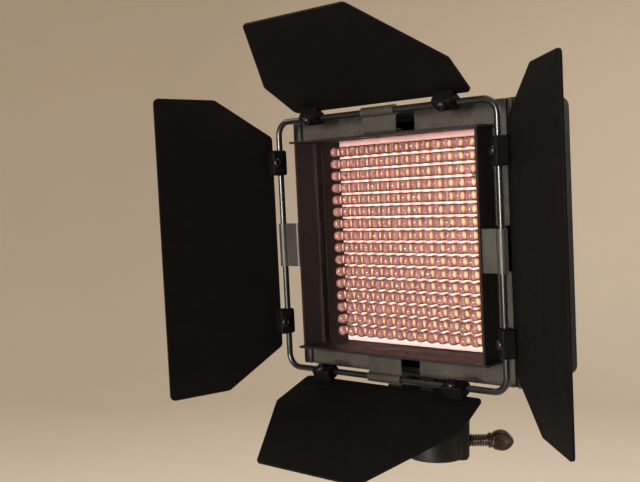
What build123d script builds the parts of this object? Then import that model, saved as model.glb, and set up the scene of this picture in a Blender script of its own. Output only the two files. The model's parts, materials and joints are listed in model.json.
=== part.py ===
from build123d import *
import math
import os

# LED panel light with a four-leaf barn door, on a tilting head that fits a light stand.
# Row frame, in mm: +Z up, the light faces -Y, +X is to the right of somebody standing in front.
# The origin is the centre of the stand socket, on its axis.
#
# Everything above the tilt hinge is drawn in the panel's own frame: origin at the centre of the
# LED field, X to the right, Y to the back, Z up. panel() then tips it nose-down about the tilt
# axis and carries it onto the stand head.

# ---- driving dimensions -------------------------------------------------------------------

# LED field
LED_ROWS = 16
LED_PITCH = 6.0
LED_R = 2.5
LED_FLANGE_R = 2.85
LED_FLANGE_H = 1.0
LED_LENGTH = 8.6
LED_BASE_Y = 5.0
BOARD_FRONT_Y = 7.6
BOARD_T = 1.6
BOARD_HALF_W = 48.8
BOARD_HALF_H = 51.3

# casing
NOSE_HALF_W = 58.6
NOSE_HALF_H = 59.9
NOSE_FRONT_Y = -8.9
CASE_HALF_W = 64.0
CASE_HALF_H = 63.4
CASE_STEP_Y = 12.0
CASE_BACK_Y = 33.5
CASE_WALL = 2.2
CASE_CORNER_R = 4.5
COVER_T = 2.5
PLATE_FRONT_Y = -10.2
PLATE_T = 1.2
PLATE_HALF_W = 57.4
PLATE_HALF_H = 61.2
PLATE_WINDOW_W = 49.9
PLATE_WINDOW_H = 50.6
PLATE_FLANGE_Y = 3.0
TRIM_IN_X = 58.7
TRIM_OUT_X = 60.5
TRIM_FRONT_Y = -10.8
RAIL_FRONT = -10.4

# hood around the light window, and the colour filter in it
SHEET = 1.0
UPRIGHT_X = 50.6
UPRIGHT_FRONT_Y = -23.8
RAIL_Z = 50.0
RAIL_HALF_L = 52.8
RAIL_FRONT_Y = -25.6
FILTER_T = 0.9
FILTER_HALF_W = 50.7
FILTER_HALF_H = 49.2
FILTER_GAP = 0.1
HOOD_BACK_Y = -11.8

# wire frame that carries the leaves
WIRE_R = 1.45
WIRE_HALF_W = 61.2
WIRE_HALF_H = 60.5
WIRE_Y = -23.7
WIRE_CORNER_R = 6.5

# straps from the hood to the wire frame
STRAP_W = {"left": 21.1, "right": 18.4, "top": 18.4, "bottom": 18.4}
STRAP_SLIDE = {"left": -0.3, "right": -1.8, "top": -1.2, "bottom": -1.5}
STRAP_T = 0.8
STRAP_ROLL_R = 2.3
STRAP_BACK_Y = -6.0
STRAP_BEND_R = 1.6
SLOT_CLEARANCE = 0.4
SLOT_DEPTH = 12.5

# leaves: distance out from the wire and half width at the hinge edge, the shoulder and the
# outer edge, and how far each leaf stands forward of the panel's plane
SIDE_LEAF = [(2.3, 51.9), (32.3, 70.1), (62.8, 70.7)]
END_LEAF = [(1.5, 49.3), (24.0, 51.3), (65.3, 27.5)]
LEAF_T = 1.0
LEAF_CORNER_R = 2.5
LEAF_BACK = 3.1
LEAF_ANGLE = {"left": 72.0, "right": 43.3, "top": 58.6, "bottom": 67.9}
LEAF_SLIDE = {"left": -1.6, "right": -0.2, "top": 0.0, "bottom": 0.0}

# clips that wrap the wire and hold the leaves
CLIP_OFFSET = {"left": 39.2, "right": 39.2, "top": 37.7, "bottom": 36.9}
CLIP_W = {"left": 12.3, "right": 12.3, "top": 10.4, "bottom": 10.4}
CLIP_R = 3.1
CLIP_REACH = 5.4
CLIP_SCREW_S = 3.5
SCREW_R = 1.0
HEAD_SCREW_R = 2.2
RUNNING_GAP = 0.06

# stand head
TILT_DEG = 4.19
TILT_Y = 13.0
TILT_Z = -75.0
TILT_HEIGHT = 20.4
SOCKET_R = 8.05
SOCKET_HALF_L = 10.4
HEAD_R = 13.3
FORK_FLOOR_Z = 12.4
FORK_GAP = 9.0
FORK_HALF_W = 11.0
EAR_R = 8.5
TONGUE_R = 7.2
TONGUE_T = 8.0
TILT_BOLT_R = 3.0
THUMB_Z = -2.3
THUMB_TURN = 41.0
THUMB_R = 3.1
THUMB_TIP_X = 8.6
BOSS_FACE_X = 16.1
BOSS_HALF_W = 8.0
BOSS_TOP_Z = 12.4
WING_X = 26.8

# foot under the casing
FOOT_TOP_Z = -CASE_HALF_H - 0.8
FOOT_Y = CASE_STEP_Y + 10.0
FOOT_BOTTOM_Z = TILT_Z + 9.0
SCREW_SINK = 1.0

# faces of the hood, and the slots that its straps pass through
UPRIGHT_HALF_H = RAIL_Z - SHEET / 2
SIDE_FACE = UPRIGHT_X + SHEET / 2
END_FACE = RAIL_Z + SHEET / 2
HOOD_FACE = {"left": SIDE_FACE, "right": SIDE_FACE, "top": END_FACE, "bottom": END_FACE}
STRAP_SLOTS = {side: (face - 0.2, face + SLOT_DEPTH) for side, face in HOOD_FACE.items()}
NOTCH_OUT = 57.0
STRAP_SCREW_Y = -16.5

# light engine
TRAY_HALF_W = 50.3
TRAY_HALF_H = 52.8
TRAY_FRONT_Y = -5.4
TRAY_BACK_Y = 12.0
TRAY_T = 1.0
DRIVER_Y = 17.0

# controls on the rear cover
CONTROL_Z = -34.0
KNOB_X = -38.0
SWITCH_X = 0.0
JACK_X = 36.0
KNOB_SHAFT_R = 3.0
ROCKER_PIVOT_Y = CASE_BACK_Y + 0.5

# ---- frames ---------------------------------------------------------------------------------


def panel(shape):
    """Carry a shape from the panel's frame to the row frame."""
    at_axis = Pos(0, -TILT_Y, -TILT_Z) * shape
    return Pos(0, 0, TILT_HEIGHT) * Rot(TILT_DEG, 0, 0) * at_axis


SIDES = {
    "left": (WIRE_HALF_W, 180.0),
    "right": (WIRE_HALF_W, 0.0),
    "top": (WIRE_HALF_H, -90.0),
    "bottom": (WIRE_HALF_H, 90.0),
}


def on_side(side, shape):
    """Carry a shape drawn for the right-hand side (out = +X, along the wire = Z) to any side."""
    return Rot(0, SIDES[side][1], 0) * shape


def leaf_place(side, shape):
    """Carry a shape from the leaf's frame (s out along X, front face -Y, t along Z) to its side."""
    half = SIDES[side][0]
    hinged = Pos(half, WIRE_Y, 0) * Rot(0, 0, -LEAF_ANGLE[side]) * shape
    return on_side(side, hinged)


# ---- small helpers --------------------------------------------------------------------------


def box(x0, x1, y0, y1, z0, z1):
    """A box from its limits."""
    centre = Pos((x0 + x1) / 2, (y0 + y1) / 2, (z0 + z1) / 2)
    return centre * Box(x1 - x0, y1 - y0, z1 - z0)


def rod_x(r, x0, x1, y=0.0, z=0.0):
    """A cylinder along X."""
    return Pos((x0 + x1) / 2, y, z) * Rot(0, 90, 0) * Cylinder(r, x1 - x0)


def rod_y(r, y0, y1, x=0.0, z=0.0):
    """A cylinder along Y."""
    return Pos(x, (y0 + y1) / 2, z) * Rot(90, 0, 0) * Cylinder(r, y1 - y0)


def rod_z(r, z0, z1, x=0.0, y=0.0):
    """A cylinder along Z."""
    return Pos(x, y, (z0 + z1) / 2) * Cylinder(r, z1 - z0)


def rounded_slab(half_w, half_h, r, y0, y1):
    """A slab in the XZ plane with rounded corners, from y0 back to y1."""
    face = Plane.XZ * RectangleRounded(2 * half_w, 2 * half_h, r)
    return Pos(0, y0, 0) * extrude(face, amount=y1 - y0, dir=(0, 1, 0))


def group(solids):
    """Separate solids kept together in one node."""
    return Compound(children=list(solids))


def four_corners(half_w, half_h):
    return [(sx * half_w, sz * half_h) for sx in (-1, 1) for sz in (-1, 1)]


# ---- stand head -----------------------------------------------------------------------------


def thumb_place(shape):
    """Turn a shape drawn along +X to the thumbscrew's direction."""
    return Rot(0, 0, THUMB_TURN) * shape


def stand_receiver():
    body = rod_z(HEAD_R, -SOCKET_HALF_L, FORK_FLOOR_Z)
    boss = box(0, BOSS_FACE_X, -BOSS_HALF_W, BOSS_HALF_W, -SOCKET_HALF_L, BOSS_TOP_Z)
    boss = fillet(boss.edges().filter_by(Axis.Z).group_by(Axis.X)[-1], 4.0)
    boss -= Pos(BOSS_FACE_X, 0, -SOCKET_HALF_L) * Rot(0, 45, 0) * Box(2.5, 3 * BOSS_HALF_W, 2.5)
    boss = thumb_place(boss)
    fork = box(-FORK_HALF_W, FORK_HALF_W, -EAR_R, EAR_R, BOSS_TOP_Z, TILT_HEIGHT)
    fork += rod_x(EAR_R, -FORK_HALF_W, FORK_HALF_W, 0, TILT_HEIGHT)
    body = body + boss + fork
    body -= rod_z(SOCKET_R, -SOCKET_HALF_L, SOCKET_HALF_L)
    body -= box(-FORK_GAP / 2, FORK_GAP / 2, -20, 20, FORK_FLOOR_Z, 40)
    body -= rod_x(TILT_BOLT_R + 0.02, -20, 20, 0, TILT_HEIGHT)
    body -= thumb_place(rod_x(THUMB_R + RUNNING_GAP, SOCKET_R - 1.0, 20, 0, THUMB_Z))
    rims = body.edges().filter_by(GeomType.CIRCLE).group_by(Axis.Z)[0]
    return chamfer(rims, 0.5)


def thumbscrew_shaft():
    shaft = rod_x(THUMB_R, THUMB_TIP_X, WING_X + 2.0, 0, THUMB_Z)
    tip = shaft.edges().group_by(Axis.X)[0]
    return thumb_place(chamfer(tip, 0.6))


def thumbscrew_wing():
    """Thick round-edged paddle with a short neck, cast onto the screw."""
    paddle = Pos(WING_X + 5.5, 0, THUMB_Z) * Rot(90, 0, 0) * extrude(
        Ellipse(5.8, 5.3), amount=1.7, both=True)
    paddle = fillet(paddle.edges(), 1.2)
    neck = rod_x(3.7, WING_X - 1.0, WING_X + 3.0, 0, THUMB_Z)
    wing = paddle + neck - rod_x(THUMB_R, WING_X - 5.0, WING_X + 2.0, 0, THUMB_Z)
    return thumb_place(wing)


def tilt_bolt():
    head = Pos(FORK_HALF_W + 1.8, 0, TILT_HEIGHT) * Rot(0, 90, 0) * extrude(
        RegularPolygon(5.6, 6), amount=1.8, both=True)
    shank = rod_x(TILT_BOLT_R, -FORK_HALF_W - 9.5, FORK_HALF_W + 0.5, 0, TILT_HEIGHT)
    return head + shank


def tilt_knob():
    """Six-lobed clamp knob on the bolt's threaded end."""
    x_in = -FORK_HALF_W - 0.4
    body = rod_x(8.6, x_in - 11.0, x_in - 2.0, 0, TILT_HEIGHT)
    for i in range(6):
        a = math.radians(60 * i)
        y, z = 9.4 * math.cos(a), 9.4 * math.sin(a)
        body -= rod_x(2.2, x_in - 12.0, x_in, y, TILT_HEIGHT + z)
    body += rod_x(6.0, x_in - 2.0, x_in, 0, TILT_HEIGHT)
    return body - rod_x(TILT_BOLT_R + RUNNING_GAP, x_in - 10.0, x_in + 1.0, 0, TILT_HEIGHT)


def tilt_washers():
    """Thin friction washers either side of the tongue."""
    washers = []
    for side in (-1, 1):
        x0, x1 = sorted((side * (TONGUE_T / 2 + 0.1), side * (FORK_GAP / 2)))
        ring = rod_x(6.5, x0, x1, 0, TILT_HEIGHT) - rod_x(TILT_BOLT_R, x0, x1, 0, TILT_HEIGHT)
        washers.append(ring)
    return group(washers)


# ---- foot under the casing ------------------------------------------------------------------


def tilt_tongue():
    foot = box(-18, 18, FOOT_Y - 16, FOOT_Y + 9, FOOT_BOTTOM_Z, FOOT_TOP_Z)
    foot = fillet(foot.edges().filter_by(Axis.Z), 4.0)
    tongue = box(-TONGUE_T / 2, TONGUE_T / 2, TILT_Y - TONGUE_R, TILT_Y + TONGUE_R,
                 TILT_Z, FOOT_BOTTOM_Z)
    tongue += rod_x(TONGUE_R, -TONGUE_T / 2, TONGUE_T / 2, TILT_Y, TILT_Z)
    part = foot + tongue
    part -= rod_x(TILT_BOLT_R + RUNNING_GAP, -10, 10, TILT_Y, TILT_Z)
    for x in (-12, 12):
        part -= rod_z(2.1, FOOT_BOTTOM_Z - 1, FOOT_TOP_Z + 1, x, FOOT_Y)
        part -= rod_z(3.7, FOOT_BOTTOM_Z - 1, FOOT_BOTTOM_Z + SCREW_SINK, x, FOOT_Y)
    return panel(part)


def foot_pad():
    pad = box(-18, 18, CASE_STEP_Y + 1.5, FOOT_Y + 9, FOOT_TOP_Z, -CASE_HALF_H)
    pad = fillet(pad.edges().filter_by(Axis.Z), 4.0)
    for x in (-12, 12):
        pad -= rod_z(2.3, -CASE_HALF_H - 2, -CASE_HALF_H + 1, x, FOOT_Y)
    return panel(pad)


def foot_screws():
    screws = []
    for x in (-12, 12):
        head_top = FOOT_BOTTOM_Z + SCREW_SINK
        head = rod_z(3.6, FOOT_BOTTOM_Z + 0.1, head_top, x, FOOT_Y)
        shank = rod_z(1.95, head_top, -CASE_HALF_H + CASE_WALL + 3.4, x, FOOT_Y)
        screws.append(panel(head + shank))
    return group(screws)


def foot_nut_plate():
    """Steel backing plate inside the casing that takes the foot screws."""
    z0 = -CASE_HALF_H + CASE_WALL
    plate = box(-18, 18, FOOT_Y - 6, FOOT_Y + 6, z0, z0 + 2.5)
    for x in (-12, 12):
        plate -= rod_z(1.95, z0 - 1, z0 + 4, x, FOOT_Y)
    return panel(plate)


# ---- casing ---------------------------------------------------------------------------------


def slot_span(side):
    half = STRAP_W[side] / 2 + SLOT_CLEARANCE
    return STRAP_SLIDE[side] - half, STRAP_SLIDE[side] + half


def housing_shell():
    """Casing: a narrower nose behind the front plate and a deeper, larger back."""
    nose = rounded_slab(NOSE_HALF_W, NOSE_HALF_H, 2.0, NOSE_FRONT_Y, CASE_STEP_Y + 1)
    back = rounded_slab(CASE_HALF_W, CASE_HALF_H, CASE_CORNER_R, CASE_STEP_Y, CASE_BACK_Y)
    back = fillet(back.edges().group_by(Axis.Y)[0], 1.0)
    shell = nose + back
    shell -= rounded_slab(NOSE_HALF_W - CASE_WALL, NOSE_HALF_H - CASE_WALL, 1.0,
                          NOSE_FRONT_Y - 1, CASE_BACK_Y)
    shell -= rounded_slab(CASE_HALF_W - CASE_WALL, CASE_HALF_H - CASE_WALL, 2.5,
                          CASE_STEP_Y + CASE_WALL, CASE_BACK_Y + 1)
    for side, (inner, _) in STRAP_SLOTS.items():
        notch = box(inner, NOTCH_OUT, NOSE_FRONT_Y - 1, STRAP_BACK_Y + 1, *slot_span(side))
        shell -= on_side(side, notch)
    for x in (-12, 12):
        shell -= rod_z(2.1, -CASE_HALF_H - 1, -CASE_HALF_H + CASE_WALL + 1, x, FOOT_Y)
    return panel(shell)


def front_plate():
    """Front sheet with the light window and strap slots, bent back over the top and bottom."""
    plate = rounded_slab(PLATE_HALF_W, PLATE_HALF_H, 1.0, PLATE_FRONT_Y, PLATE_FRONT_Y + PLATE_T)
    for sign in (-1, 1):
        z0, z1 = sorted((sign * (PLATE_HALF_H - PLATE_T), sign * PLATE_HALF_H))
        plate += box(-PLATE_HALF_W, PLATE_HALF_W, PLATE_FRONT_Y + PLATE_T / 2, PLATE_FLANGE_Y, z0, z1)
    plate -= rounded_slab(PLATE_WINDOW_W, PLATE_WINDOW_H, 1.0, PLATE_FRONT_Y - 1, PLATE_FRONT_Y + 3)
    for side, (inner, outer) in STRAP_SLOTS.items():
        slot = box(inner, outer, PLATE_FRONT_Y - 1, PLATE_FLANGE_Y + 1, *slot_span(side))
        plate -= on_side(side, slot)
    return panel(plate)


def side_trims():
    """Light strips that cover the casing's front edges, left and right of the plate."""
    trims = []
    for sign in (-1, 1):
        x0, x1 = sorted((sign * TRIM_IN_X, sign * TRIM_OUT_X))
        strip = box(x0, x1, TRIM_FRONT_Y, CASE_STEP_Y - 0.1, -PLATE_HALF_H, PLATE_HALF_H)
        strip = fillet(strip.edges().group_by(Axis.Y)[0].filter_by(Axis.Z), 0.6)
        trims.append(panel(strip))
    return group(trims)


def side_rail(sign):
    """Grooved joining rail along the casing's side, for locking two lights together."""
    x0, x1 = sorted((sign * (TRIM_OUT_X + 0.05), sign * CASE_HALF_W))
    rail = box(x0, x1, RAIL_FRONT, CASE_STEP_Y - 0.1, -PLATE_HALF_H, PLATE_HALF_H)
    rail = fillet(rail.edges().group_by(Axis.Y)[0].filter_by(Axis.Z), 0.7)
    groove_x = sorted((sign * (CASE_HALF_W - 1.6), sign * (CASE_HALF_W + 1)))
    rail -= box(groove_x[0], groove_x[1], -4.5, 4.5, -PLATE_HALF_H - 1, PLATE_HALF_H + 1)
    return panel(rail)


def rear_cover():
    y0, y1 = CASE_BACK_Y, CASE_BACK_Y + COVER_T
    cover = rounded_slab(CASE_HALF_W, CASE_HALF_H, CASE_CORNER_R, y0, y1)
    cover = fillet(cover.edges().group_by(Axis.Y)[-1], 1.8)
    lip_w, lip_h = CASE_HALF_W - CASE_WALL - 0.2, CASE_HALF_H - CASE_WALL - 0.2
    lip = rounded_slab(lip_w, lip_h, 2.3, y0 - 3.0, y0)
    lip -= rounded_slab(lip_w - 1.6, lip_h - 1.6, 1.0, y0 - 4.0, y0)
    for x, z in COVER_SCREWS:
        lip -= rod_y(3.6, y0 - 4.0, y0, x, z)
    cover += lip
    for i in range(9):
        z = 22.0 + 3.6 * i
        for x in (-26.0, 26.0):
            vent = box(x - 18, x + 18, y0 - 4, y1 + 1, z - 0.8, z + 0.8)
            cover -= vent
    cover -= rod_y(KNOB_SHAFT_R + 0.6, y0 - 4, y1 + 1, KNOB_X, CONTROL_Z)
    cover -= box(SWITCH_X - 9.6, SWITCH_X + 9.6, y0 - 4, y1 + 1, CONTROL_Z - 6.5, CONTROL_Z + 6.5)
    cover -= rod_y(5.6, y0 - 4, y1 + 1, JACK_X, CONTROL_Z)
    for x, z in COVER_SCREWS:
        cover -= rod_y(1.6, y0 - 4, y1 + 1, x, z)
    return panel(cover)


def cover_posts():
    """Posts that the rear cover screws into."""
    posts = []
    for x, z in COVER_SCREWS:
        post = rod_y(3.2, CASE_STEP_Y + CASE_WALL, CASE_BACK_Y, x, z)
        posts.append(panel(post - rod_y(1.3, CASE_BACK_Y - 9, CASE_BACK_Y + 1, x, z)))
    return group(posts)


def cover_screws():
    screws = []
    y1 = CASE_BACK_Y + COVER_T
    for x, z in COVER_SCREWS:
        head = fillet(rod_y(2.8, y1, y1 + 1.6, x, z).edges().group_by(Axis.Y)[-1], 1.0)
        slot = box(x - 1.6, x + 1.6, y1 + 0.9, y1 + 2, z - 0.35, z + 0.35)
        slot += box(x - 0.35, x + 0.35, y1 + 0.9, y1 + 2, z - 1.6, z + 1.6)
        screws.append(panel(head + rod_y(1.3, CASE_BACK_Y - 7, y1, x, z) - slot))
    return group(screws)


# ---- hood and filter ------------------------------------------------------------------------


def hood_wall(sign):
    x0, x1 = sorted((sign * (UPRIGHT_X - SHEET / 2), sign * (UPRIGHT_X + SHEET / 2)))
    wall = box(x0, x1, UPRIGHT_FRONT_Y, HOOD_BACK_Y, -UPRIGHT_HALF_H, UPRIGHT_HALF_H)
    for z in (-6, 6):
        wall -= rod_x(1.05, x0 - 1, x1 + 1, STRAP_SCREW_Y, z)
    return panel(wall)


def filter_rail(sign):
    z0, z1 = sorted((sign * (RAIL_Z - SHEET / 2), sign * (RAIL_Z + SHEET / 2)))
    rail = box(-RAIL_HALF_L, RAIL_HALF_L, RAIL_FRONT_Y, HOOD_BACK_Y, z0, z1)
    for x in (-6, 6):
        rail -= rod_z(1.05, z0 - 1, z1 + 1, x, STRAP_SCREW_Y)
    return panel(rail)


def filter_plate():
    y1 = UPRIGHT_FRONT_Y - FILTER_GAP
    slab = rounded_slab(FILTER_HALF_W, FILTER_HALF_H, 1.0, y1 - FILTER_T, y1)
    return panel(slab)


# ---- barn door frame ------------------------------------------------------------------------


def wire_frame():
    """Closed rounded square of round wire: four straight runs joined by quarter bends."""
    w, h, r = WIRE_HALF_W, WIRE_HALF_H, WIRE_CORNER_R
    ring = rod_z(WIRE_R, -h + r, h - r, -w, WIRE_Y) + rod_z(WIRE_R, -h + r, h - r, w, WIRE_Y)
    ring += rod_x(WIRE_R, -w + r, w - r, WIRE_Y, -h) + rod_x(WIRE_R, -w + r, w - r, WIRE_Y, h)
    for sx in (-1, 1):
        for sz in (-1, 1):
            centre = Vector(sx * (w - r), WIRE_Y, sz * (h - r))
            section = Plane(origin=centre + Vector(sx * r, 0, 0), z_dir=(0, 0, 1)) * Circle(WIRE_R)
            arc = revolve(section, Axis(centre, (0, 1, 0)), -90 * sx * sz)
            ring += arc
    return panel(ring)


def strap(side):
    """L-shaped strap: fixed to the hood's outer face, bent out and rolled round the wire."""
    half = SIDES[side][0]
    foot = HOOD_FACE[side]
    roll = Pos(half, WIRE_Y) * Circle(STRAP_ROLL_R)
    arm_y = WIRE_Y - STRAP_T / 2
    arm = Pos((foot + half) / 2, WIRE_Y) * Rectangle(half - foot, STRAP_T)
    leg = Pos(foot + STRAP_T / 2, (arm_y + STRAP_BACK_Y) / 2)
    leg = leg * Rectangle(STRAP_T, STRAP_BACK_Y - arm_y)
    profile = roll + arm + leg
    corner = profile.vertices().sort_by_distance((foot, arm_y, 0))[0]
    profile = fillet(corner, STRAP_BEND_R)
    profile -= Pos(half, WIRE_Y) * Circle(WIRE_R)
    width, middle = STRAP_W[side], STRAP_SLIDE[side]
    body = Pos(0, 0, middle - width / 2) * extrude(profile, amount=width)
    for t in (-6, 6):
        body -= rod_x(1.05, foot - 1, foot + 3, STRAP_SCREW_Y, t)
    return panel(on_side(side, body))


def strap_screws():
    screws = []
    for side in SIDES:
        foot = HOOD_FACE[side]
        for t in (-6, 6):
            shank = rod_x(1.0, foot - SHEET - 0.4, foot + STRAP_T, STRAP_SCREW_Y, t)
            head = rod_x(1.9, foot + STRAP_T, foot + STRAP_T + 1.1, STRAP_SCREW_Y, t)
            head = fillet(head.edges().group_by(Axis.X)[-1], 0.7)
            screws.append(panel(on_side(side, head + shank)))
    return group(screws)


# ---- leaves ---------------------------------------------------------------------------------


def leaf_outline(side):
    return SIDE_LEAF if side in ("left", "right") else END_LEAF


def leaf(side):
    """Sheet leaf screwed to the backs of its clips; it may sit a little along the wire."""
    rows = leaf_outline(side)
    corners = [(s, h) for s, h in rows] + [(s, -h) for s, h in reversed(rows)]
    face = Plane.XZ * Polygon(*corners, align=None)
    sheet = Pos(0, LEAF_BACK, LEAF_SLIDE[side]) * extrude(face, amount=LEAF_T, dir=(0, 1, 0))
    sheet = fillet(sheet.edges().filter_by(Axis.Y), LEAF_CORNER_R)
    for t in clip_places(side):
        sheet -= rod_y(SCREW_R + 0.05, 0, 2 * LEAF_BACK, CLIP_SCREW_S, t)
    return panel(leaf_place(side, sheet))


def clip_places(side):
    middle = LEAF_SLIDE[side]
    return [middle - CLIP_OFFSET[side], middle + CLIP_OFFSET[side]]


def leaf_clips(side):
    """Two moulded clips: each is round where it wraps the wire and flat where the leaf sits."""
    block = Pos(CLIP_REACH / 2, 0) * Rectangle(CLIP_REACH, 2 * CLIP_R)
    block = fillet(block.vertices().group_by(Axis.X)[-1], 0.9)
    profile = Circle(CLIP_R) + block - Circle(WIRE_R + RUNNING_GAP)
    width = CLIP_W[side]
    clips = []
    for t in clip_places(side):
        clip = Pos(0, 0, t - width / 2) * extrude(profile, amount=width)
        clip = fillet(clip.edges().filter_by(Axis.Y), 1.2)
        clip -= rod_y(SCREW_R + 0.05, -5, 5, CLIP_SCREW_S, t)
        clips.append(panel(leaf_place(side, clip)))
    return group(clips)


def leaf_screws(side):
    """Domed screw through each clip and its leaf, with a nut behind."""
    screws = []
    back = LEAF_BACK + LEAF_T
    for t in clip_places(side):
        head = rod_y(HEAD_SCREW_R, -CLIP_R - 1.8, -CLIP_R, CLIP_SCREW_S, t)
        head = fillet(head.edges().group_by(Axis.Y)[0], 1.4)
        nut = rod_y(1.9, back, back + 1.3, CLIP_SCREW_S, t)
        shank = rod_y(SCREW_R, -CLIP_R, back, CLIP_SCREW_S, t)
        screws.append(panel(leaf_place(side, head + shank + nut)))
    return group(screws)


# ---- light engine ---------------------------------------------------------------------------


def led_tray():
    """Black sheet tray around the LED field, open to the front."""
    tray = box(-TRAY_HALF_W, TRAY_HALF_W, TRAY_FRONT_Y, TRAY_BACK_Y, -TRAY_HALF_H, TRAY_HALF_H)
    inner_w, inner_h = TRAY_HALF_W - TRAY_T, TRAY_HALF_H - TRAY_T
    tray -= box(-inner_w, inner_w, TRAY_FRONT_Y - 1, TRAY_BACK_Y - TRAY_T, -inner_h, inner_h)
    for x, z in four_corners(30, 30):
        tray -= rod_y(1.3, TRAY_BACK_Y - 3, TRAY_BACK_Y + 1, x, z)
    return panel(tray)


def tray_brackets():
    """Four lugs that hold the tray in the casing's nose."""
    lug_z = NOSE_HALF_H - CASE_WALL
    lugs = []
    for x, z in four_corners(40, 1):
        z0, z1 = sorted((z * TRAY_HALF_H, z * lug_z))
        lugs.append(panel(box(x - 5, x + 5, 2.0, 8.0, z0, z1)))
    return group(lugs)


def led_board():
    board = box(-BOARD_HALF_W, BOARD_HALF_W, BOARD_FRONT_Y, BOARD_FRONT_Y + BOARD_T,
                -BOARD_HALF_H, BOARD_HALF_H)
    for x, z in four_corners(30, 30):
        board -= rod_y(1.3, BOARD_FRONT_Y - 1, BOARD_FRONT_Y + 3, x, z)
    return panel(board)


def leds():
    """Clear round-topped LEDs on a square grid: a dome, a barrel, a flange and short legs."""
    tip_y = LED_BASE_Y - LED_LENGTH
    dome_y = tip_y + LED_R
    lens = rod_y(LED_R, dome_y, LED_BASE_Y - LED_FLANGE_H) + Pos(0, dome_y, 0) * Sphere(LED_R)
    lens += rod_y(LED_FLANGE_R, LED_BASE_Y - LED_FLANGE_H, LED_BASE_Y)
    lens += rod_y(1.5, LED_BASE_Y, BOARD_FRONT_Y)
    first = -LED_PITCH * (LED_ROWS - 1) / 2
    places = [(first + LED_PITCH * i, first + LED_PITCH * j)
              for i in range(LED_ROWS) for j in range(LED_ROWS)]
    return group(panel(Pos(x, 0, z) * lens) for x, z in places)


def board_standoffs():
    y0, y1 = BOARD_FRONT_Y + BOARD_T, TRAY_BACK_Y - TRAY_T
    return group(panel(rod_y(3.0, y0, y1, x, z) - rod_y(1.25, y0, y1, x, z))
                 for x, z in four_corners(30, 30))


def driver_standoffs():
    y0, y1 = TRAY_BACK_Y, DRIVER_Y
    return group(panel(rod_y(2.6, y0, y1, x, z)) for x, z in four_corners(32, 20))


def driver_board():
    return panel(box(-38, 38, DRIVER_Y, DRIVER_Y + 1.6, -26, 26))


def driver_parts():
    """Coil, capacitors, power transistors and controller on the driver board."""
    y0 = DRIVER_Y + 1.6
    pieces = [rod_y(9.0, y0, y0 + 8.0, -20, 8) - rod_y(4.0, y0, y0 + 8.0, -20, 8)]
    pieces += [rod_y(4.0, y0, y0 + 10.0, x, -14) for x in (-30, -20, -10)]
    pieces += [box(x, x + 4.5, y0, y0 + 9.0, 8, 18) for x in (8, 18, 28)]
    pieces += [box(6, 18, y0, y0 + 1.8, -18, -8), box(24, 34, y0, y0 + 8.0, -20, -10)]
    return group(panel(piece) for piece in pieces)


# ---- controls on the rear cover -------------------------------------------------------------

COVER_SCREWS = four_corners(56.5, 56.0)


def dimmer_pot():
    y_wall = CASE_BACK_Y
    pot = rod_y(8.0, y_wall - 9.0, y_wall, KNOB_X, CONTROL_Z)
    pot += rod_y(KNOB_SHAFT_R, y_wall, y_wall + COVER_T + 9.0, KNOB_X, CONTROL_Z)
    return panel(pot)


def dimmer_knob():
    y0 = CASE_BACK_Y + COVER_T + 0.6
    knob = rod_y(9.5, y0, y0 + 12.0, KNOB_X, CONTROL_Z)
    knob = fillet(knob.edges().group_by(Axis.Y)[-1], 1.2)
    for i in range(18):
        a = math.radians(20 * i)
        x, z = KNOB_X + 9.9 * math.cos(a), CONTROL_Z + 9.9 * math.sin(a)
        knob -= rod_y(0.9, y0 + 2.0, y0 + 13.0, x, z)
    knob -= rod_y(KNOB_SHAFT_R + RUNNING_GAP, y0 - 1, y0 + 9.0, KNOB_X, CONTROL_Z)
    return panel(knob)


def switch_body():
    y0 = CASE_BACK_Y - 9.0
    x, z = SWITCH_X, CONTROL_Z
    body = box(x - 9.5, x + 9.5, y0, CASE_BACK_Y + COVER_T, z - 6.4, z + 6.4)
    body += box(x - 11, x + 11, CASE_BACK_Y + COVER_T, CASE_BACK_Y + COVER_T + 1.5, z - 7.8, z + 7.8)
    body -= box(x - 8.2, x + 8.2, y0 + 4.0, CASE_BACK_Y + 8, z - 5.2, z + 5.2)
    return panel(body)


def power_rocker():
    """Rocker cap that tips about a short axis along Z."""
    x, z = SWITCH_X, CONTROL_Z
    cap = rod_z(7.4, z - 4.8, z + 4.8, x, ROCKER_PIVOT_Y)
    cap &= box(x - 8, x + 8, ROCKER_PIVOT_Y - 2.0, ROCKER_PIVOT_Y + 4.6, z - 5, z + 5)
    return panel(cap)


def dc_jack():
    y1 = CASE_BACK_Y + COVER_T
    jack = rod_y(5.4, CASE_BACK_Y - 10.0, y1, JACK_X, CONTROL_Z)
    jack += rod_y(7.0, y1, y1 + 1.6, JACK_X, CONTROL_Z)
    jack -= rod_y(2.75, y1 - 9.0, y1 + 2, JACK_X, CONTROL_Z)
    jack += rod_y(1.0, y1 - 9.5, y1 - 0.5, JACK_X, CONTROL_Z)
    return panel(jack)


# ---- write one STEP per node ----------------------------------------------------------------


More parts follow.
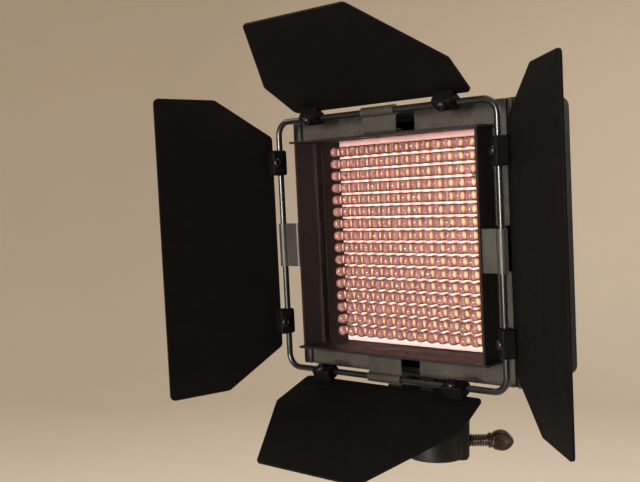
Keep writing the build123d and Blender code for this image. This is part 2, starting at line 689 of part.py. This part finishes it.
def nodes():
    parts = {
        "stand_receiver": stand_receiver(),
        "thumbscrew_shaft": thumbscrew_shaft(),
        "thumbscrew_wing": thumbscrew_wing(),
        "tilt_bolt": tilt_bolt(),
        "tilt_knob": tilt_knob(),
        "tilt_washers": tilt_washers(),
        "tilt_tongue": tilt_tongue(),
        "foot_pad": foot_pad(),
        "foot_screws": foot_screws(),
        "foot_nut_plate": foot_nut_plate(),
        "housing_shell": housing_shell(),
        "front_plate": front_plate(),
        "rear_cover": rear_cover(),
        "cover_posts": cover_posts(),
        "cover_screws": cover_screws(),
        "side_trims": side_trims(),
        "side_rail_left": side_rail(-1),
        "side_rail_right": side_rail(1),
        "tray_brackets": tray_brackets(),
        "hood_wall_left": hood_wall(-1),
        "hood_wall_right": hood_wall(1),
        "filter_rail_top": filter_rail(1),
        "filter_rail_bottom": filter_rail(-1),
        "filter_plate": filter_plate(),
        "wire_frame": wire_frame(),
        "strap_screws": strap_screws(),
        "led_tray": led_tray(),
        "led_board": led_board(),
        "leds": leds(),
        "board_standoffs": board_standoffs(),
        "driver_standoffs": driver_standoffs(),
        "driver_board": driver_board(),
        "driver_parts": driver_parts(),
        "dimmer_pot": dimmer_pot(),
        "dimmer_knob": dimmer_knob(),
        "switch_body": switch_body(),
        "power_rocker": power_rocker(),
        "dc_jack": dc_jack(),
    }
    for side in SIDES:
        parts["strap_" + side] = strap(side)
        parts["leaf_" + side] = leaf(side)
        parts["leaf_clips_" + side] = leaf_clips(side)
        parts["leaf_screws_" + side] = leaf_screws(side)
    return parts


def main():
    os.makedirs("parts", exist_ok=True)
    for name, shape in nodes().items():
        export_step(shape, "parts/" + name + ".step")


main()
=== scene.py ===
"""LED panel light with barn-door leaves: looks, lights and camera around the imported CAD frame."""

import json
import math

import bpy
import numpy as np
from mathutils import Matrix, Vector


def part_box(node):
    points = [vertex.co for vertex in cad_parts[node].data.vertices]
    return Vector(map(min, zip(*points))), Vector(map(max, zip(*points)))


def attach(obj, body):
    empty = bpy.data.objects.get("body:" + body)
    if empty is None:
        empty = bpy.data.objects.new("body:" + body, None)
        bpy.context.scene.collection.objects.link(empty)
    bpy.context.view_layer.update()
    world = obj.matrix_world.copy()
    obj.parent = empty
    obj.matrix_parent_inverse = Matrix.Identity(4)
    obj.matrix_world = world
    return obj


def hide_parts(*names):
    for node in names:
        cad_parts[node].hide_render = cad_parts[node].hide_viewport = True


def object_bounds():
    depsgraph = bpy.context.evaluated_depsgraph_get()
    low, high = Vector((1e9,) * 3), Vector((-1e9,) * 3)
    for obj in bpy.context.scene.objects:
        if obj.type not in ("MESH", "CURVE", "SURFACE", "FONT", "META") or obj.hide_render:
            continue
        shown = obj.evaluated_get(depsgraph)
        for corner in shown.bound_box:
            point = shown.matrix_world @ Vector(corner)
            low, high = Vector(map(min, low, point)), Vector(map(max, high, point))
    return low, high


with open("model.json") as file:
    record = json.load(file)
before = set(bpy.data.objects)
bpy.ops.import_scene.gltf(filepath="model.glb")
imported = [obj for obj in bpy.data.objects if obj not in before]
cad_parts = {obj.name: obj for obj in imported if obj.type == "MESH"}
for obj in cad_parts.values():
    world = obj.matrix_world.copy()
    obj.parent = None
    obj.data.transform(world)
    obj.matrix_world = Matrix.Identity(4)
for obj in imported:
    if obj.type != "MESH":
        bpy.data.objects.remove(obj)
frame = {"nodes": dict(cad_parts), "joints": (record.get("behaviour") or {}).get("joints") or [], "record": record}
cad_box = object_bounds()
MM = 0.001

# ---- frames ---------------------------------------------------------------------------------

JOINTS = {j["name"]: j for j in frame["joints"]}


def axes_matrix(origin, x, y, z):
    """Matrix that carries a frame with these axes to the row frame."""
    m = Matrix((x, y, z)).transposed().to_4x4()
    m.translation = origin
    return m


def node_points(name):
    """Vertices of a CAD node in the row frame, as an array in metres."""
    mesh = frame["nodes"][name].data
    co = np.empty(len(mesh.vertices) * 3)
    mesh.vertices.foreach_get("co", co)
    return co.reshape(-1, 3)


def points_in(name, matrix):
    """Vertices of a CAD node in the frame that matrix carries to the row frame, in mm."""
    inverse = np.array(matrix.inverted())
    return (node_points(name) @ inverse[:3, :3].T + inverse[:3, 3]) / MM


PANEL_BACK = -Vector(JOINTS["filter_pull"]["axis"]).normalized()
PANEL_UP = Vector((1, 0, 0)).cross(PANEL_BACK)
BOARD_LOW, BOARD_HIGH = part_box("led_board")
PANEL = axes_matrix((BOARD_LOW + BOARD_HIGH) / 2, Vector((1, 0, 0)), PANEL_BACK, PANEL_UP)


def leaf_frame(side):
    """Leaf frame: X out from the wire, Y to the leaf's back, Z along the wire."""
    joint = JOINTS[f"leaf_{side}_swing"]
    origin, along = Vector(joint["pos_m"]), Vector(joint["axis"]).normalized()
    points = node_points(f"leaf_{side}")
    middle = points.mean(axis=0)
    # the sheet's normal is the direction in which its points spread least
    across = Vector(np.linalg.svd(points - middle, full_matrices=False)[2][2])
    out = across.cross(along).normalized()
    if out.dot(Vector(middle) - origin) < 0:
        out = -out
    return axes_matrix(origin, out, along.cross(out), along)


# ---- materials ------------------------------------------------------------------------------


class Shader:
    """A node material with a Principled surface and short calls for the nodes used here."""

    def __init__(self, name):
        self.mat = bpy.data.materials.new(name)
        self.mat.use_nodes = True
        self.tree = self.mat.node_tree
        self.surface = self.tree.nodes["Principled BSDF"]
        self.coords = self.tree.nodes.new("ShaderNodeTexCoord").outputs["Object"]

    def node(self, kind, **values):
        made = self.tree.nodes.new("ShaderNode" + kind)
        for key, value in values.items():
            setattr(made, key, value)
        return made

    def link(self, a, b):
        self.tree.links.new(a, b)

    def noise(self, scale, detail=4.0, rough=0.55):
        made = self.node("TexNoise")
        self.link(self.coords, made.inputs["Vector"])
        made.inputs["Scale"].default_value = scale
        made.inputs["Detail"].default_value = detail
        made.inputs["Roughness"].default_value = rough
        return made.outputs["Fac"]

    def remap(self, value, low, high, to_low=0.0, to_high=1.0):
        made = self.node("MapRange")
        self.link(value, made.inputs["Value"])
        for key, number in (("From Min", low), ("From Max", high),
                            ("To Min", to_low), ("To Max", to_high)):
            made.inputs[key].default_value = number
        return made.outputs["Result"]

    def times(self, a, b):
        made = self.node("Math", operation="MULTIPLY")
        self.link(a, made.inputs[0])
        self.link(b, made.inputs[1])
        return made.outputs[0]

    def facing(self, power, low, high):
        """low where the surface faces the viewer, rising to high at a grazing angle."""
        weight = self.node("LayerWeight").outputs["Facing"]
        made = self.node("Math", operation="POWER")
        self.link(weight, made.inputs[0])
        made.inputs[1].default_value = power
        return self.remap(made.outputs[0], 0.0, 1.0, low, high)

    def blend(self, factor, a, b):
        """Mix of two shaders."""
        made = self.node("MixShader")
        for socket, value in zip(made.inputs, (factor, a, b)):
            self.link(value, socket)
        return made.outputs[0]

    def output(self, shader):
        self.link(shader, self.tree.nodes["Material Output"].inputs["Surface"])

    def mix(self, factor, a, b):
        """Mix of two colours, each a tuple or a socket."""
        made = self.node("Mix", data_type="RGBA")
        self.link(factor, made.inputs["Factor"])
        for key, colour in (("A", a), ("B", b)):
            socket = [s for s in made.inputs if s.name == key and s.type == "RGBA"][0]
            if isinstance(colour, tuple):
                socket.default_value = (*colour, 1)
            else:
                self.link(colour, socket)
        return [s for s in made.outputs if s.type == "RGBA"][0]

    def round_edges(self, radius):
        made = self.node("Bevel", samples=6)
        made.inputs["Radius"].default_value = radius
        return made.outputs["Normal"]

    def edges(self, rounded, reach):
        """1 at sharp edges, 0 on flat faces."""
        dot = self.node("VectorMath", operation="DOT_PRODUCT")
        self.link(rounded, dot.inputs[0])
        self.link(self.node("NewGeometry").outputs["Normal"], dot.inputs[1])
        return self.remap(dot.outputs["Value"], 1.0, 1.0 - reach)

    def bump(self, height, distance, strength=1.0, normal=None):
        made = self.node("Bump")
        self.link(height, made.inputs["Height"])
        made.inputs["Distance"].default_value = distance
        made.inputs["Strength"].default_value = strength
        if normal:
            self.link(normal, made.inputs["Normal"])
        return made.outputs["Normal"]

    def set(self, **values):
        """Principled inputs by name, with _ for a space: a socket, a colour or a number."""
        for key, value in values.items():
            socket = self.surface.inputs[key.replace("_", " ")]
            if isinstance(value, bpy.types.NodeSocket):
                self.link(value, socket)
            else:
                socket.default_value = (*value, 1) if isinstance(value, tuple) else value


def finish(name, dark, light, rough, grain, depth, patch=60.0, edge=0.25, worn=None, wear=0.5,
           metal=0.0, specular=0.35):
    """A solid finish: patchy colour, fine grain in the bump, varied gloss and worn edges.

    dark, light: colours it varies between; rough: (glossiest, dullest); grain, patch: fine and
    broad noise per metre; depth: bump in mm; edge: rounding of sharp edges in mm; worn: colour
    shown at worn edges, and wear: how much of them it covers, from 0 to 1.
    """
    s = Shader(name)
    fine = s.noise(grain, 5.0, 0.6)
    broad = s.noise(patch, 3.0)
    tone = s.times(s.remap(broad, 0.3, 0.7, 0.35, 1.0), s.remap(fine, 0.3, 0.7, 0.2, 1.0))
    colour = s.mix(tone, dark, light)
    rounded = s.round_edges(edge * MM)
    if worn:
        spots = s.remap(s.noise(900.0, 6.0, 0.7), 0.62 - 0.2 * wear, 0.68)
        rim = s.remap(s.edges(rounded, 0.25), 0.25, 0.7)
        colour = s.mix(s.times(rim, spots), colour, worn)
    s.set(Base_Color=colour, Roughness=s.remap(s.noise(grain / 4, 4.0), 0.3, 0.7, *rough),
          Metallic=metal, Specular_IOR_Level=specular,
          Normal=s.bump(fine, depth * MM, 1.0, rounded))
    return s.mat


def clear_epoxy():
    """Moulded epoxy, clear in the middle; a taupe tint and an opaque layer that goes near black at the rim are
    painted shade that darkens it, most towards its rim. Its shadow is light.
    """
    s = Shader("led_epoxy_painted_shade")
    # painted shade: the taupe tint of the glass darkens the domes
    s.set(Base_Color=s.mix(s.noise(300.0), (0.78, 0.70, 0.68), (0.86, 0.79, 0.77)), IOR=1.5,
          Roughness=s.remap(s.noise(1500.0), 0.35, 0.65, 0.04, 0.10),
          Normal=s.bump(s.noise(2200.0), 0.01 * MM, 0.6))
    s.surface.inputs["Transmission Weight"].default_value = 1.0
    # painted shade: an opaque layer, taupe where the lens faces the viewer and near black at a grazing angle,
    # covers more of the lens towards its rim
    body = s.node("BsdfPrincipled")
    s.link(s.mix(s.facing(1.1, -0.2, 1.9), (0.46, 0.36, 0.34), (0.014, 0.006, 0.009)),
           body.inputs["Base Color"])
    s.link(s.remap(s.noise(900.0), 0.3, 0.7, 0.08, 0.16), body.inputs["Roughness"])
    epoxy = s.blend(s.facing(1.1, 0.12, 1.4), s.surface.outputs[0], body.outputs[0])
    clear = s.node("BsdfTransparent")
    clear.inputs["Color"].default_value = (0.9, 0.86, 0.84, 1)
    s.output(s.blend(s.node("LightPath").outputs["Is Shadow Ray"], epoxy, clear.outputs[0]))
    return s.mat


def tinted_sheet():
    """Pink acetate: the tint lets light straight through, with a thin gloss on each face."""
    s = Shader("pink_filter")
    tint = s.node("BsdfTransparent")
    s.link(s.mix(s.noise(25.0, 3.0), (0.993, 0.885, 0.885), (0.988, 0.862, 0.862)),
           tint.inputs["Color"])
    gloss = s.node("BsdfGlossy")
    s.link(s.remap(s.noise(120.0, 6.0, 0.7), 0.4, 0.75, 0.04, 0.2), gloss.inputs["Roughness"])
    s.link(s.bump(s.noise(14.0, 2.0), 0.05 * MM, 0.5), gloss.inputs["Normal"])
    s.output(s.blend(s.facing(5.0, 0.02, 0.8), tint.outputs[0], gloss.outputs[0]))
    return s.mat


LOOKS = {
    "casing_black": finish("casing_black", (0.0022, 0.002, 0.0018), (0.007, 0.006, 0.005),
                           (0.45, 0.62), 1400.0, 0.06, edge=0.5, worn=(0.05, 0.045, 0.04),
                           wear=0.2, specular=0.15),
    "wrinkle_grey": finish("wrinkle_grey", (0.003, 0.0026, 0.0019), (0.045, 0.038, 0.028),
                           (0.5, 0.68), 1100.0, 0.5, edge=0.25, worn=(0.13, 0.12, 0.1),
                           wear=0.3, specular=0.2),
    "leaf_black": finish("leaf_black", (0.0009, 0.0007, 0.0006), (0.0026, 0.002, 0.0016),
                         (0.55, 0.72), 1100.0, 0.035, edge=0.3, worn=(0.16, 0.14, 0.12), wear=0.1,
                         specular=0.07),
    "wire_black": finish("wire_black", (0.002, 0.002, 0.002), (0.006, 0.0055, 0.005),
                         (0.24, 0.36), 700.0, 0.012, edge=0.1, specular=0.4),
    "strap_grey": finish("strap_grey", (0.009, 0.0078, 0.0058), (0.034, 0.029, 0.021), (0.34, 0.5),
                         1300.0, 0.05, edge=0.2, worn=(0.16, 0.14, 0.12), wear=0.3,
                         specular=0.3),
    "dark_screw": finish("dark_screw", (0.006, 0.0055, 0.005), (0.02, 0.018, 0.016), (0.22, 0.38),
                         1500.0, 0.02, edge=0.15, worn=(0.3, 0.26, 0.2), wear=0.3, metal=0.6),
    "hood_black": finish("hood_black", (0.0012, 0.001, 0.0008), (0.0045, 0.0035, 0.0028),
                         (0.4, 0.58), 1200.0, 0.05, edge=0.15, worn=(0.3, 0.2, 0.11), wear=0.4,
                         specular=0.2),
    "board_white": finish("board_white", (0.78, 0.74, 0.68), (0.9, 0.88, 0.83), (0.3, 0.45),
                          900.0, 0.02, edge=0.1),
    "board_green": finish("board_green", (0.008, 0.05, 0.02), (0.02, 0.11, 0.045), (0.3, 0.45),
                          800.0, 0.03, edge=0.1),
    "component_dark": finish("component_dark", (0.012, 0.012, 0.014), (0.035, 0.035, 0.038),
                             (0.4, 0.6), 1600.0, 0.03, edge=0.2),
    "head_black": finish("head_black", (0.002, 0.0018, 0.0016), (0.007, 0.006, 0.005),
                         (0.38, 0.58), 700.0, 0.12, edge=0.4, worn=(0.12, 0.11, 0.1), wear=0.25,
                         specular=0.2),
    "zinc_steel": finish("zinc_steel", (0.3, 0.28, 0.25), (0.62, 0.6, 0.55), (0.2, 0.4), 1800.0,
                         0.02, edge=0.15, metal=1.0),
    "bronze_wing": finish("bronze_wing", (0.012, 0.006, 0.003), (0.055, 0.028, 0.014),
                          (0.25, 0.42), 500.0, 0.1, patch=220.0, edge=0.3,
                          worn=(0.5, 0.33, 0.2), wear=0.5, metal=0.45),
    "rubber_black": finish("rubber_black", (0.006, 0.006, 0.006), (0.016, 0.016, 0.016),
                           (0.7, 0.9), 1500.0, 0.06, edge=0.3),
    "knob_black": finish("knob_black", (0.008, 0.008, 0.008), (0.025, 0.024, 0.023), (0.32, 0.5),
                         1700.0, 0.04, edge=0.4, worn=(0.1, 0.1, 0.1), wear=0.3),
    "tray_black": finish("tray_black", (0.0012, 0.001, 0.0009), (0.0035, 0.0028, 0.0024),
                         (0.5, 0.7), 1200.0, 0.05, edge=0.2, specular=0.08),
    "pink_filter": tinted_sheet(),
    "led_clear": clear_epoxy(),
}
PHOSPHOR = finish("phosphor", (0.88, 0.84, 0.36), (0.96, 0.94, 0.60), (0.5, 0.7), 2500.0, 0.03)
LEAD = finish("lead_frame", (0.45, 0.42, 0.38), (0.75, 0.72, 0.66), (0.2, 0.35), 2500.0, 0.01,
              metal=1.0)
WORN_THREAD = finish("thread_steel", (0.03, 0.027, 0.023), (0.22, 0.2, 0.17), (0.2, 0.4), 1500.0,
                     0.03, patch=400.0, edge=0.12, worn=(0.85, 0.8, 0.72), wear=0.6, metal=0.9)

for row in frame["record"]["subparts"]:
    piece = frame["nodes"][row["node"]]
    piece.data.materials.clear()
    piece.data.materials.append(LOOKS[row["material_slot"]])

# ---- mesh helpers ---------------------------------------------------------------------------


def to_object(name, points, faces, matrix, body, material, slot, smooth=True, sharp=40.0):
    """Mesh object from points in mm in the given frame, riding on a CAD body."""
    mesh = bpy.data.meshes.new(name)
    mesh.from_pydata([tuple(p) for p in np.asarray(points) * MM], [], faces)
    mesh.materials.append(material)
    mesh.transform(matrix)
    mesh.update()
    made = bpy.data.objects.new(name, mesh)
    bpy.context.scene.collection.objects.link(made)
    if smooth:
        mesh.polygons.foreach_set("use_smooth", [True] * len(mesh.polygons))
        mesh.set_sharp_from_angle(angle=math.radians(sharp))
    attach(made, body)
    return made


def joined(parts):
    """One points array and face list from several (points, faces)."""
    points, faces, start = [], [], 0
    for some_points, some_faces in parts:
        points.append(np.asarray(some_points, float))
        faces += [tuple(i + start for i in f) for f in some_faces]
        start += len(some_points)
    return np.vstack(points), faces


def lathe(profile, segments=32, shape=None):
    """Turned solid about +Z through (radius, z) points; shape(angle, ring) scales a radius.

    A profile point with radius 0 closes that end.
    """
    angles = [2 * math.pi * i / segments for i in range(segments)]
    points, rings = [], []
    for k, (radius, z) in enumerate(profile):
        if radius == 0:
            rings.append([len(points)])
            points.append((0.0, 0.0, z))
            continue
        ring = []
        for a in angles:
            r = radius * (shape(a, k) if shape else 1.0)
            ring.append(len(points))
            points.append((r * math.cos(a), r * math.sin(a), z))
        rings.append(ring)
    faces = []
    for a, b in zip(rings, rings[1:]):
        for i in range(segments):
            j = (i + 1) % segments
            corners = [a[i % len(a)], a[j % len(a)], b[j % len(b)], b[i % len(b)]]
            corners = list(dict.fromkeys(corners))
            if len(corners) > 2:
                faces.append(tuple(corners))
    return np.array(points), faces


def moved(part, matrix):
    """A (points, faces) pair carried by a 4x4 matrix whose translation is in mm."""
    m = np.array(matrix)
    return part[0] @ m[:3, :3].T + m[:3, 3], part[1]


TO_FRONT = Matrix.Rotation(math.radians(90), 4, "X")      # +Z of a turned part becomes -Y
TO_SIDE = Matrix.Rotation(math.radians(90), 4, "Y")       # +Z of a turned part becomes +X

# ---- LEDs -----------------------------------------------------------------------------------

LED_ROWS = 16
LED_R = 2.5
FLANGE_R = 2.85
FLANGE_H = 1.0
CUP_R = 1.05
CUP_DEPTH = 4.6         # from the lens tip to the cup's rim
CUP_WALL = 0.1
CUP_FLOOR_R = 0.55
CUP_FLOOR = 0.5         # from the cup's rim down to its floor
POST_HALF_T = 0.25
POST_START = -0.3       # the posts stand out a little behind the flange
POST_HALF = 0.55
SECOND_POST_HALF = 0.3
SECOND_POST_X = 1.45
TURN_SPREAD = 4         # degrees, how unevenly the LEDs are turned in their holes


def led_lens(length):
    """Closed lens, tip at +Z: dome, slightly tapered barrel, flange."""
    dome = [(LED_R * math.cos(a), length - LED_R + LED_R * math.sin(a))
            for a in [math.radians(d) for d in (0, 18, 36, 52, 66, 78, 85)]]
    side = [(0, 0), (FLANGE_R - 0.1, 0), (FLANGE_R, 0.12), (FLANGE_R, FLANGE_H - 0.12),
            (FLANGE_R - 0.1, FLANGE_H), (LED_R + 0.04, FLANGE_H + 0.05)]
    return lathe(side + dome + [(0, length)], 24)


def led_inside(length):
    """Lead frame: reflector cup on its post, the second post, and the phosphor in the cup."""
    rim = length - CUP_DEPTH
    cup = lathe([(0, rim - 0.9), (0.62, rim - 0.9), (CUP_R + CUP_WALL, rim), (CUP_R, rim),
                 (CUP_FLOOR_R, rim - CUP_FLOOR), (0, rim - CUP_FLOOR)], 14)

    def post(x, half, z0, z1):
        corners = [(x + sx * half, sy * POST_HALF_T, z) for z in (z0, z1)
                   for sx, sy in ((-1, -1), (1, -1), (1, 1), (-1, 1))]
        sides = [(i, (i + 1) % 4, 4 + (i + 1) % 4, 4 + i) for i in range(4)]
        return np.array(corners), [(3, 2, 1, 0), (4, 5, 6, 7)] + sides

    frame_metal = joined([cup, post(0.0, POST_HALF, POST_START, rim - 0.85),
                          post(SECOND_POST_X, SECOND_POST_HALF, POST_START, rim - 0.3)])
    phosphor = lathe([(0, rim - 0.45), (0.5, rim - 0.45), (CUP_R - 0.03, rim - 0.03),
                      (CUP_R - 0.3, rim + 0.12), (0, rim + 0.2)], 14)
    return frame_metal, phosphor


def led_field():
    """Lenses, lead frames and phosphor of every LED, on the grid of the CAD node."""
    leds = points_in("leds", PANEL)
    low, high = leds.min(axis=0), leds.max(axis=0)
    tip_y = low[1]
    # the barrel's widest ring is the flange: its back face is the deepest point at full radius
    far = np.abs(leds[:, 0] - leds[:, 0].min()) < 0.05
    base_y = leds[far][:, 1].max()
    length = base_y - tip_y
    pitch = (high[0] - low[0] - 2 * FLANGE_R) / (LED_ROWS - 1)
    first_x, first_z = low[0] + FLANGE_R, low[2] + FLANGE_R
    lens = led_lens(length)
    metal, phosphor = led_inside(length)
    rng = np.random.default_rng(7)
    fields = {"lens": [], "metal": [], "phosphor": []}
    for i in range(LED_ROWS):
        for j in range(LED_ROWS):
            turn = Matrix.Rotation(math.radians(rng.normal(0, TURN_SPREAD)), 4, "Z")
            place = Matrix.Translation((first_x + pitch * i, base_y, first_z + pitch * j))
            m = place @ TO_FRONT @ turn
            for key, part in (("lens", lens), ("metal", metal), ("phosphor", phosphor)):
                fields[key].append(moved(part, m))
    for key, name, material in (("lens", "led_lenses", LOOKS["led_clear"]),
                                ("metal", "led_lead_frames", LEAD),
                                ("phosphor", "led_phosphor", PHOSPHOR)):
        made = to_object(name, *joined(fields[key]), PANEL, "lamp", material, "led_clear")
        if key == "lens":
            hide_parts("leds")


led_field()

# ---- screws in the leaf clips ---------------------------------------------------------------


NUT_CORNER = 0.93       # the nut's hexagon against the circle it is given
SOCKET_TURN = (1.1, 0.4)    # radians, for the two screws of a leaf


def hexagon(angle):
    """Radius of a regular hexagon over the radius of the circle inside it."""
    return 1 / math.cos((angle % (math.pi / 3)) - math.pi / 6)


def socket_screw(head_r, head_h, shank_r, length, nut_r, nut_h):
    """Domed hex-socket screw, head on top (+Z), seat of the head at z = 0, hex nut below."""
    dome = [(head_r, 0.0), (head_r, head_h * 0.3), (head_r * 0.93, head_h * 0.6),
            (head_r * 0.75, head_h * 0.86), (head_r * 0.5, head_h)]
    recess = [(head_r * 0.4, head_h * 0.97), (head_r * 0.38, head_h * 0.45),
              (0, head_h * 0.38)]
    first = len(dome) + 1
    head = lathe([(0, 0)] + dome + recess, 36, lambda a, k: hexagon(a) if k >= first else 1.0)
    shank = lathe([(0, -length), (shank_r, -length), (shank_r, 0.02), (0, 0.02)], 20)
    nut = lathe([(0, -length), (nut_r * 0.9, -length), (nut_r, -length + 0.25),
                 (nut_r, -length + nut_h), (0, -length + nut_h)], 36,
                lambda a, k: hexagon(a) * NUT_CORNER)
    return joined([head, shank, nut])


for side in ("left", "right", "top", "bottom"):
    at = leaf_frame(side)
    node = f"leaf_screws_{side}"
    pts = points_in(node, at)
    clips = points_in(f"leaf_clips_{side}", at)
    seat, back = clips[:, 1].min(), points_in(f"leaf_{side}", at)[:, 1].max()
    screws = []
    for half in (pts[:, 2] < 0, pts[:, 2] > 0):
        low, high = pts[half].min(axis=0), pts[half].max(axis=0)
        head_r = (high[2] - low[2]) / 2
        part = socket_screw(head_r, seat - low[1], 1.0, high[1] - seat, head_r * 0.82,
                            high[1] - back)
        spin = Matrix.Rotation(SOCKET_TURN[int(low[2] > 0)], 4, "Z")
        place = Matrix.Translation(((low[0] + high[0]) / 2, seat, (low[2] + high[2]) / 2))
        screws.append(moved(part, place @ TO_FRONT @ spin))
    made = to_object(node + "_look", *joined(screws), at, f"leaf_{side}", LOOKS["dark_screw"],
                     "dark_screw")
    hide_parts(node)

# ---- thumbscrew -----------------------------------------------------------------------------

THREAD_PITCH = 1.27
THREAD_DEPTH = 0.75
PADDLE_DIMPLE = 0.35    # depth of its dish against its half thickness
PADDLE_HALF_X = 6.0
PADDLE_WAVE = (0.035, 0.02)     # how far its outline goes in and out, against its radius
PADDLE_REACH = 1 + sum(PADDLE_WAVE)


def thread(radius, length, pitch, depth, steps=10, segments=40):
    """Threaded rod along +Z from 0 to length, chamfered at both ends."""
    rings = int(length / pitch * steps)
    profile = [(radius - depth, 0.0)] + [(radius, length * k / rings) for k in range(rings + 1)]
    profile = [(0, 0.0)] + profile + [(0, length)]

    def cut(angle, k):
        if k <= 1 or k == len(profile) - 1:
            return 1.0
        z = profile[k][1]
        phase = (z / pitch + angle / (2 * math.pi)) % 1.0
        groove = min(1.0, max(0.0, abs(phase - 0.5) * 2.6 - 0.25))
        end = max(0.0, 1 - min(z, length - z) / 0.7)
        return 1 - depth / radius * max(groove, end)

    return lathe(profile, segments, cut)


def paddle(half_x, half_z, half_t, rows=9, segments=64):
    """Thick plate across X and Z with rounded rims, a wavy outline and dished faces."""
    profile = []
    for k in range(rows + 1):
        a = math.pi * (k / rows - 0.5)
        profile.append((0.76 + 0.24 * math.cos(a), half_t * math.sin(a)))
    centre = half_t * (1 - PADDLE_DIMPLE)
    profile = [(0, -centre), (0.35, -centre * 1.03)] + profile
    profile += [(0.35, centre * 1.03), (0, centre)]
    points, faces = lathe(profile, segments, lambda a, k: 1 + PADDLE_WAVE[0] * math.cos(3 * a + 0.6)
                          + PADDLE_WAVE[1] * math.cos(5 * a))
    scale = Matrix.Diagonal((half_x, half_z, 1.0, 1.0))
    return moved((points, faces), TO_FRONT @ scale)


def thumbscrew():
    """Threaded rod in place of the CAD shaft, and a dished paddle in place of the wing."""
    joint = JOINTS["thumbscrew_turn"]
    along, up = Vector(joint["axis"]).normalized(), Vector((0, 0, 1))
    axis = axes_matrix(Vector((0, 0, joint["pos_m"][2])), along, up.cross(along), up)
    shaft = points_in("thumbscrew_shaft", axis)
    wing = points_in("thumbscrew_wing", axis)
    radius = shaft[:, 2].max()
    start, neck = shaft[:, 0].min(), wing[:, 0].min()
    end = wing[:, 0].max()
    rod = thread(radius, neck + 1.5 - start, THREAD_PITCH, THREAD_DEPTH)
    made = to_object("thumbscrew_thread", *moved(rod, Matrix.Translation((start, 0, 0)) @ TO_SIDE),
                     axis, "thumbscrew", WORN_THREAD, "zinc_steel", sharp=75)
    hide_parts("thumbscrew_shaft")
    half_z = wing[:, 2].max() / PADDLE_REACH
    half_x = min(PADDLE_HALF_X, (end - neck) / 2) / PADDLE_REACH
    plate = paddle(half_x, half_z, wing[:, 1].max())
    plate = moved(plate, Matrix.Translation((end - half_x * PADDLE_REACH, 0, 0)))
    hub_r = radius + 0.6
    hub = lathe([(0, 0.0), (hub_r - 0.4, 0.0), (hub_r, 0.4), (hub_r, 1.0), (hub_r * 0.86, 2.2),
                 (hub_r * 0.8, 3.6), (hub_r * 0.6, 5.4), (0, 6.0)], 32)
    hub = moved(hub, Matrix.Translation((neck, 0, 0)) @ TO_SIDE)
    made = to_object("thumbscrew_paddle", *joined([plate, hub]), axis, "thumbscrew",
                     LOOKS["bronze_wing"], "bronze_wing", sharp=70)
    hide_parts("thumbscrew_wing")


thumbscrew()

# ---- studio ---------------------------------------------------------------------------------

FLOOR_DROP = 0.28       # the object stands on a light stand, so the floor is well below it
STUDIO_R = 2.6
STUDIO_BEND = 0.9
STUDIO_WALL = 2.6
STUDIO_MIDDLE_R = 0.6


def studio():
    """Round pale floor that curves up into a wall on every side."""
    s = Shader("studio_paper")
    s.set(Base_Color=s.mix(s.noise(1.5, 3.0), (0.70, 0.62, 0.51), (0.75, 0.665, 0.55)),
          Roughness=s.remap(s.noise(40.0), 0.3, 0.7, 0.85, 0.95),
          Normal=s.bump(s.noise(600.0), 0.1 * MM, 0.3))
    z0 = -FLOOR_DROP / MM
    radius, bend = STUDIO_R / MM, STUDIO_BEND / MM
    curve = [(radius - bend + bend * math.sin(a), z0 + bend - bend * math.cos(a))
             for a in [math.radians(15 * k) for k in range(7)]]
    points, faces = lathe([(0, z0), (STUDIO_MIDDLE_R / MM, z0)] + curve
                          + [(radius, z0 + STUDIO_WALL / MM)], 96)
    mesh = bpy.data.meshes.new("studio_floor")
    mesh.from_pydata([tuple(p) for p in points * MM], [], faces)
    mesh.materials.append(s.mat)
    mesh.polygons.foreach_set("use_smooth", [True] * len(mesh.polygons))
    made = bpy.data.objects.new("studio_floor", mesh)
    bpy.context.scene.collection.objects.link(made)


def area_light(name, place, target, size, power, colour, spread=180.0):
    data = bpy.data.lights.new(name, "AREA")
    data.shape, data.size, data.energy, data.color = "DISK", size, power, colour
    data.spread = math.radians(spread)
    made = bpy.data.objects.new(name, data)
    made.location = place
    made.rotation_euler = (Vector(target) - Vector(place)).to_track_quat("-Z", "Y").to_euler()
    bpy.context.scene.collection.objects.link(made)


studio()
CENTRE = (cad_box[0] + cad_box[1]) / 2
area_light("key", (0.16, -1.5, 0.14), CENTRE, 0.5, 5.2, (1.0, 0.95, 0.9), spread=60.0)
area_light("spark", (0.08, -1.0, 0.02), CENTRE, 0.09, 4.0, (1.0, 0.97, 0.93))
area_light("fill", (-1.2, -0.6, 1.1), CENTRE, 0.7, 8.0, (1.0, 0.93, 0.85))
area_light("top", (0.1, 0.25, 1.5), CENTRE, 1.0, 10.0, (1.0, 0.96, 0.92))
area_light("rim", (1.0, 1.2, 0.7), CENTRE, 0.8, 8.0, (1.0, 0.96, 0.92))

world = bpy.data.worlds.new("studio_world")
world.use_nodes = True
world.node_tree.nodes["Background"].inputs["Color"].default_value = (0.92, 0.86, 0.78, 1)
world.node_tree.nodes["Background"].inputs["Strength"].default_value = 0.38
bpy.context.scene.world = world
bpy.context.scene.view_settings.view_transform = "Standard"

# ---- camera ---------------------------------------------------------------------------------

CAMERA_PLACE = (0.24737, -0.36488, 0.09595)
CAMERA_TURN = 41.45     # degrees to the left of looking straight at the panel
CAMERA_DIP = 0.167      # degrees below level
CAMERA_LENS = 50.5

camera = bpy.data.cameras.new("camera")
camera.lens, camera.sensor_width = CAMERA_LENS, 36.0
camera.clip_start = 0.02
view = bpy.data.objects.new("camera", camera)
view.location = CAMERA_PLACE
view.rotation_euler = (math.radians(90 - CAMERA_DIP), 0, math.radians(CAMERA_TURN))
bpy.context.scene.collection.objects.link(view)
bpy.context.scene.camera = view
